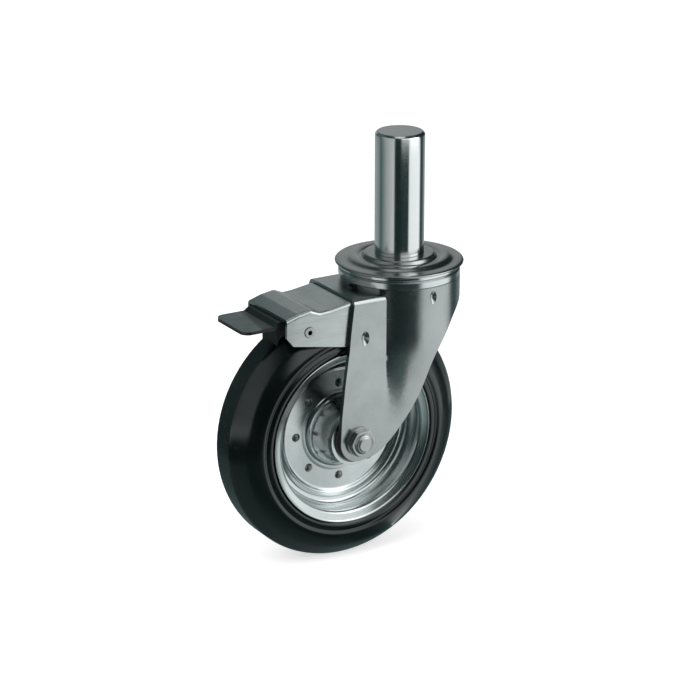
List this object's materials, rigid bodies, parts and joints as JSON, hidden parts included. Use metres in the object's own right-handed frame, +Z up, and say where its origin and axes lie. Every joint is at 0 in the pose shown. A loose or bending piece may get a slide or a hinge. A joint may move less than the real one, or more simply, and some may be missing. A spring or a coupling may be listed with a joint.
{
  "type": "scaffold castor",
  "caption": "Swivelling castor on a round steel stem: pressed fork, dished steel wheel with a solid rubber tyre, and a pedal that brakes the wheel and locks the swivel.",
  "frame": {"origin": "on the stem's axis, on the boss that the stem stands on", "axes": "+Z up the stem, -X the trailing side with the wheel and the pedal, Y along the wheel's axle"},
  "size_m": [0.2052, 0.099, 0.3288],
  "materials": {
    "turned_steel": "turned, bright",
    "dark_steel": "dull dark grey",
    "race_steel": "ground",
    "fastener_zinc": "zinc plated",
    "zinc_sheet": "zinc plated, satin",
    "zinc_ring": "zinc plated, satin",
    "zinc_channel": "zinc plated, satin",
    "ball_steel": "polished",
    "cage_brass": "pressed",
    "tyre_rubber": "satin black",
    "rim_zinc": "zinc plated, satin",
    "rivet_steel": "dull",
    "nylon": "moulded",
    "pedal_steel": "dark grey",
    "cast_shoe": "as cast",
    "spring_steel": "blued"
  },
  "bodies": {
    "head": {"stem": "turned_steel", "head_cover": "dark_steel", "upper_race": "race_steel", "lock_ring": "dark_steel", "head_spacer": "race_steel", "lower_race": "race_steel", "kingpin_washer": "fastener_zinc", "kingpin_nut": "fastener_zinc"},
    "fork_frame": {"fork": "zinc_sheet", "bearing_cup": "zinc_ring", "main_balls": "ball_steel", "ball_cage": "cage_brass", "lower_balls": "ball_steel", "brake_housing": "zinc_channel", "pivot_rivets": "fastener_zinc", "axle_bolt": "fastener_zinc", "axle_nut": "fastener_zinc", "axle_washers": "fastener_zinc", "axle_sleeve": "race_steel"},
    "wheel": {"tyre": "tyre_rubber", "rim_near": "rim_zinc", "rim_far": "rim_zinc", "rim_rivets": "rivet_steel", "hub_tube": "race_steel", "hub_rollers": "ball_steel", "roller_cage": "nylon", "hub_seals": "nylon"},
    "pedal": {"pedal_lever": "pedal_steel", "shoe_screws": "fastener_zinc", "latch_rivets": "fastener_zinc", "brake_shoe": "cast_shoe", "latch": "spring_steel", "return_spring": "spring_steel"}
  },
  "joints": [
    {"name": "swivel", "type": "hinge", "parent": "head", "child": "fork_frame", "pos_m": [0, 0, 0], "axis": [0, 0, 1], "continuous": true},
    {"name": "wheel_spin", "type": "hinge", "parent": "fork_frame", "child": "wheel", "pos_m": [-0.0557, 0, -0.1338], "axis": [0, 1, 0], "continuous": true},
    {"name": "brake_pedal", "type": "hinge", "parent": "fork_frame", "child": "pedal", "pos_m": [-0.0968, 0, -0.0403], "axis": [0, -1, 0], "range_deg": [0, 6], "deforming": ["return_spring"]}
  ]
}
